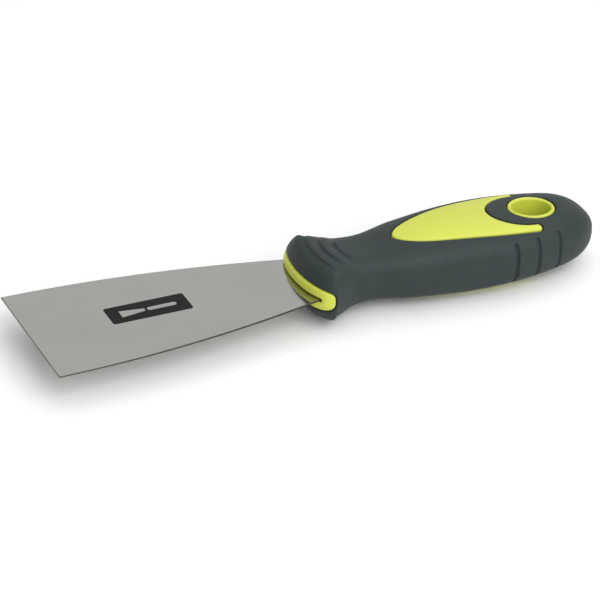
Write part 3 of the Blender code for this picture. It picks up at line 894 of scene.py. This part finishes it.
# ---------------------------------------------------------------- materials
class Look:
    """A material whose shader's inputs are set directly or fed by a few texture nodes."""

    def __init__(self, name, colour, roughness, metallic=0.0, **inputs):
        self.colour = colour
        self.material = bpy.data.materials.new(name)
        self.material.use_nodes = True
        self.tree = self.material.node_tree
        self.shader = self.tree.nodes["Principled BSDF"]
        self.shader.inputs["Base Color"].default_value = (*colour, 1.0)
        self.shader.inputs["Roughness"].default_value = roughness
        self.shader.inputs["Metallic"].default_value = metallic
        for key, value in inputs.items():
            self.shader.inputs[key.replace("_", " ")].default_value = value
        self.place = self.tree.nodes.new("ShaderNodeTexCoord").outputs["Object"]

    def noise(self, scale, stretch=(1, 1, 1), detail=3.0):
        """A noise over the piece's own frame. A larger scale or stretch makes it finer."""
        mapping = self.tree.nodes.new("ShaderNodeMapping")
        mapping.inputs["Scale"].default_value = stretch
        self.tree.links.new(self.place, mapping.inputs["Vector"])
        node = self.tree.nodes.new("ShaderNodeTexNoise")
        node.inputs["Scale"].default_value = scale
        node.inputs["Detail"].default_value = detail
        self.tree.links.new(mapping.outputs["Vector"], node.inputs["Vector"])
        return node.outputs["Fac"]

    def spread(self, source, low, high):
        """Maps a noise's middle range to a range of values."""
        node = self.tree.nodes.new("ShaderNodeMapRange")
        node.inputs["From Min"].default_value = NOISE_LOW
        node.inputs["From Max"].default_value = NOISE_HIGH
        node.inputs["To Min"].default_value = low
        node.inputs["To Max"].default_value = high
        self.tree.links.new(source, node.inputs["Value"])
        return node.outputs["Result"]

    def blend(self, source, first, second):
        """Goes from the first colour to the second as the source goes from 0 to 1."""
        node = self.tree.nodes.new("ShaderNodeMix")
        node.data_type = "RGBA"
        node.inputs["A"].default_value = (*first, 1.0)
        node.inputs["B"].default_value = (*second, 1.0)
        self.tree.links.new(source, node.inputs["Factor"])
        return node.outputs["Result"]

    def tint(self, share, scale, **noise):
        """Lets the colour drift between a darker and a lighter shade."""
        dark = tuple(channel * (1 - share) for channel in self.colour)
        light = tuple(channel * (1 + share) for channel in self.colour)
        drift = self.spread(self.noise(scale, **noise), 0, 1)
        self.tree.links.new(self.blend(drift, dark, light), self.shader.inputs["Base Color"])

    def wear(self, source, low, high):
        """Lets the roughness change between two values."""
        self.tree.links.new(self.spread(source, low, high), self.shader.inputs["Roughness"])

    def bump(self, source, distance, strength, under=None):
        """Roughens the surface by a height in metres, on top of an earlier bump if one is given."""
        node = self.tree.nodes.new("ShaderNodeBump")
        node.inputs["Distance"].default_value = distance
        node.inputs["Strength"].default_value = strength
        self.tree.links.new(source, node.inputs["Height"])
        if under is not None:
            self.tree.links.new(under, node.inputs["Normal"])
        self.tree.links.new(node.outputs["Normal"], self.shader.inputs["Normal"])
        return node.outputs["Normal"]


def rubber():
    """Dull dark grey, with a fine grain."""
    look = Look("grey_soft_plastic", (0.027, 0.037, 0.037), roughness=0.50, Specular_IOR_Level=0.22)
    look.tint(share=0.10, scale=60, detail=5)
    look.wear(look.noise(scale=400), low=0.44, high=0.56)
    grain = look.bump(look.noise(scale=5200, detail=2), distance=0.00002, strength=0.5)
    look.bump(look.noise(scale=900, detail=2), distance=0.00002, strength=0.25, under=grain)
    return look.material


def hard_plastic():
    """Satin yellow-green."""
    look = Look("green_hard_plastic", (0.560, 0.608, 0.066), roughness=0.38)
    look.tint(share=0.035, scale=45, stretch=(0.5, 1, 1), detail=4)
    look.wear(look.noise(scale=300), low=0.33, high=0.45)
    look.bump(look.noise(scale=4200, detail=2), distance=0.000012, strength=0.4)
    return look.material


def steel():
    """Bright steel, brushed across the blade."""
    look = Look("brushed_spring_steel", (0.51, 0.51, 0.485), roughness=0.12, metallic=1.0)
    look.tint(share=0.03, scale=55, detail=6)
    lines = look.noise(scale=60, stretch=(70, 1, 1), detail=6)
    look.wear(lines, low=0.08, high=0.16)
    look.bump(lines, distance=0.000002, strength=0.3)
    return look.material


def cut_edge():
    """Darker, rougher steel where the sheet was cut."""
    look = Look("sheared_steel_edge", (0.075, 0.075, 0.062), roughness=0.45, metallic=1.0)
    look.tint(share=0.25, scale=900, stretch=(3, 3, 1))
    look.bump(look.noise(scale=2500, stretch=(1, 1, 0.15)), distance=0.00001, strength=0.5)
    return look.material


def ink():
    """Dull black print."""
    look = Look("black_print", (0.006, 0.006, 0.007), roughness=0.5, Specular_IOR_Level=0.15)
    look.tint(share=0.35, scale=1500)
    look.wear(look.noise(scale=1500), low=0.42, high=0.58)
    look.bump(look.noise(scale=6000), distance=0.000004, strength=0.5)
    return look.material


# ---------------------------------------------------------------- studio
def make_floor():
    """The pale surface that the knife lies on."""
    bm = bmesh.new()
    corners = [(x * FLOOR_HALF, y * FLOOR_HALF, 0) for x, y in ((-1, -1), (1, -1), (1, 1), (-1, 1))]
    bm.faces.new([bm.verts.new(corner) for corner in corners])
    mesh = bpy.data.meshes.new("floor")
    bm.to_mesh(mesh)
    bm.free()
    floor = bpy.data.objects.new("floor", mesh)
    bpy.context.scene.collection.objects.link(floor)
    mesh.materials.append(Look("pale_floor", (0.90, 0.90, 0.90), roughness=0.9).material)


def softbox(name, place, aim, size, power):
    """A rectangular light at a place, turned towards its aim."""
    light = bpy.data.lights.new(name, "AREA")
    light.shape = "RECTANGLE"
    light.size, light.size_y = size
    light.energy = power
    obj = bpy.data.objects.new(name, light)
    bpy.context.scene.collection.objects.link(obj)
    obj.location = place
    obj.rotation_mode = "QUATERNION"
    obj.rotation_quaternion = (Vector(aim) - Vector(place)).to_track_quat("-Z", "Y")


def make_studio():
    """A white room that is darker on the blade's side, and two softboxes."""
    scene = bpy.context.scene
    world = bpy.data.worlds.new("studio")
    world.use_nodes = True
    back = world.node_tree.nodes["Background"]
    place = world.node_tree.nodes.new("ShaderNodeTexCoord")
    split = world.node_tree.nodes.new("ShaderNodeSeparateXYZ")
    wall = world.node_tree.nodes.new("ShaderNodeMapRange")
    wall.inputs["From Min"].default_value = -1.0
    wall.inputs["To Min"].default_value = WALL_DARK
    wall.inputs["To Max"].default_value = WALL_BRIGHT
    world.node_tree.links.new(place.outputs["Generated"], split.inputs["Vector"])
    world.node_tree.links.new(split.outputs["X"], wall.inputs["Value"])
    world.node_tree.links.new(wall.outputs["Result"], back.inputs["Strength"])
    back.inputs["Color"].default_value = (1.0, 1.0, 1.0, 1.0)
    scene.world = world
    scene.view_settings.view_transform = "Standard"
    softbox("top_light", place=(0.30, 0.00, 0.90), aim=(0, 0, 0), size=(1.4, 1.4), power=4.2)
    softbox("front_light", place=(0.12, -0.88, 0.74), aim=(0.02, 0, 0), size=(1.2, 0.9), power=8.2)


def make_camera():
    """A long lens that looks down on the knife from its front."""
    turn, rise, roll = CAMERA_TURN, CAMERA_RISE, CAMERA_ROLL
    forward = Vector((-math.sin(turn) * math.cos(rise), math.cos(turn) * math.cos(rise), -math.sin(rise)))
    right = Vector((math.cos(turn), math.sin(turn), 0))
    up = right.cross(forward)
    side = math.cos(roll) * right + math.sin(roll) * up
    top = math.cos(roll) * up - math.sin(roll) * right
    data = bpy.data.cameras.new("camera")
    data.lens = CAMERA_LENS
    data.sensor_width = CAMERA_SENSOR
    camera = bpy.data.objects.new("camera", data)
    bpy.context.scene.collection.objects.link(camera)
    axes = Matrix((side, top, -forward)).transposed().to_4x4()
    camera.matrix_world = Matrix.Translation(CAMERA_AIM - CAMERA_DISTANCE * forward) @ axes
    bpy.context.scene.camera = camera


# ---------------------------------------------------------------- assembly
blade = make_blade()
for material in (steel(), cut_edge(), ink()):
    blade.data.materials.append(material)
core = make_core()
cut(core, pocket())
core.data.materials.clear()
core.data.materials.append(hard_plastic())
grip = make_grip()
grip.data.materials.append(rubber())

pieces = (
    (blade, "blade", "spring_steel"),
    (core, "handle_core", "hard_plastic"),
    (grip, "grip_overmould", "soft_grip"),
)
for piece, node, slot in pieces:
    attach(piece, "root")
    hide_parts(node)

make_floor()
make_studio()
make_camera()
